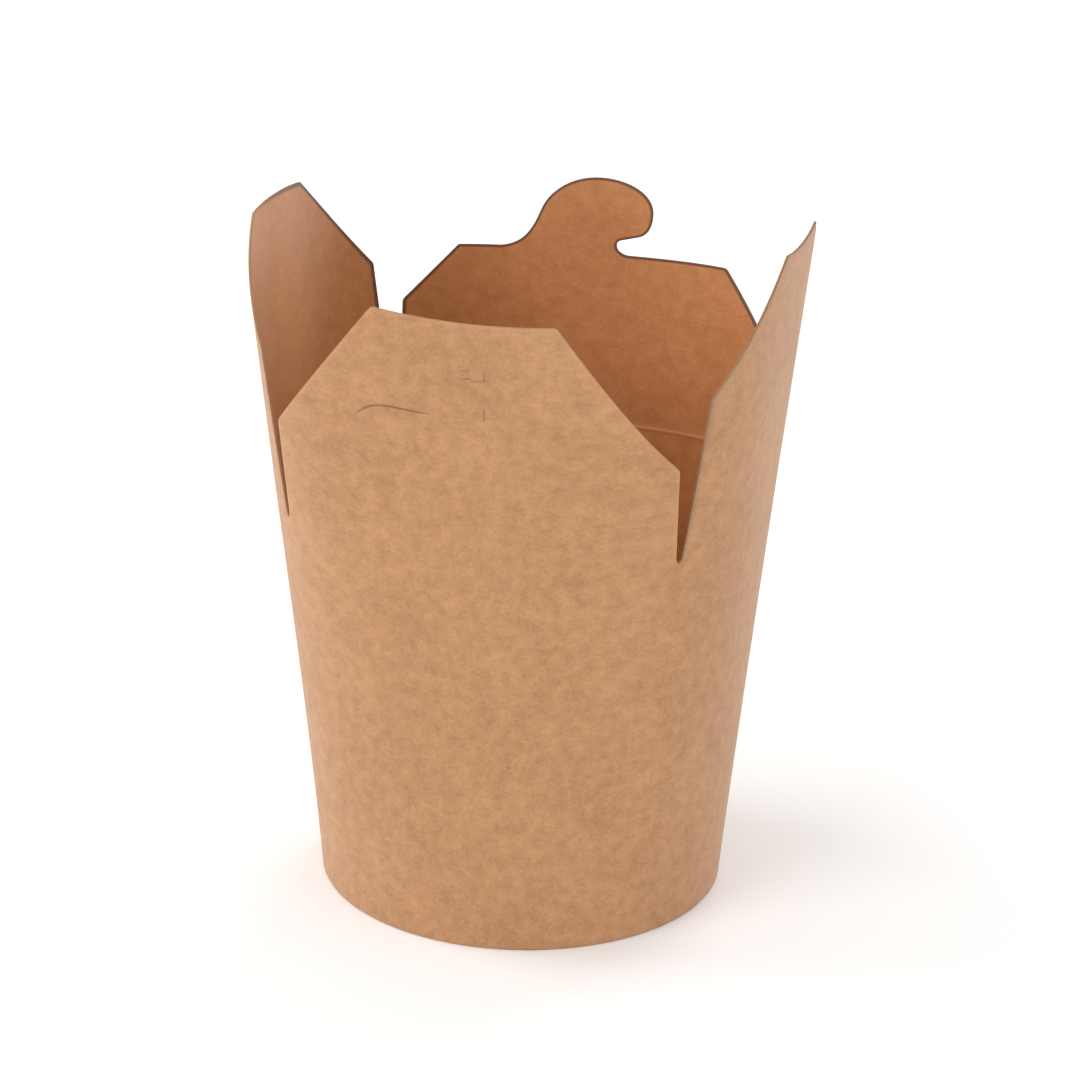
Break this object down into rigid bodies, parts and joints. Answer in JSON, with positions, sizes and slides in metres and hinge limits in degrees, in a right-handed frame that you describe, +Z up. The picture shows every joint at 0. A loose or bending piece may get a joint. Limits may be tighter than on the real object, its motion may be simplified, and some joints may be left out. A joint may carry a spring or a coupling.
{
  "type": "noodle takeaway box",
  "caption": "Round-footed kraft board food box that turns square at the mouth, with closing flaps, a hooked tab and a curved slit.",
  "frame": {"origin": "middle of the box on the surface it stands on", "axes": "+Z up along the box's axis, -Y towards the front flap with the curved slit, +X to the right seen from the front"},
  "size_m": [0.1085, 0.0943, 0.141],
  "materials": {
    "kraft_sleeve": "matt brown kraft board, smoother and darker on the inner face",
    "kraft_bottom": "brown kraft board with a thin food-safe coating"
  },
  "bodies": {
    "box": {"wall": "kraft_sleeve", "base": "kraft_bottom"},
    "front_flap": {"flap_front": "kraft_sleeve"},
    "back_flap": {"flap_back": "kraft_sleeve"},
    "left_flap": {"flap_left": "kraft_sleeve"},
    "right_flap": {"flap_right": "kraft_sleeve"}
  },
  "joints": [
    {"name": "fold_front", "type": "hinge", "parent": "box", "child": "front_flap", "pos_m": [0, -0.0335, 0.0838], "axis": [-1, 0, 0], "range_deg": [0, 58]},
    {"name": "fold_back", "type": "hinge", "parent": "box", "child": "back_flap", "pos_m": [0, 0.0335, 0.0838], "axis": [1, 0, 0], "range_deg": [0, 50]},
    {"name": "fold_left", "type": "hinge", "parent": "box", "child": "left_flap", "pos_m": [-0.0396, 0, 0.0838], "axis": [0, 1, 0], "range_deg": [0, 118]},
    {"name": "fold_right", "type": "hinge", "parent": "box", "child": "right_flap", "pos_m": [0.0396, 0, 0.0838], "axis": [0, -1, 0], "range_deg": [0, 100]}
  ]
}
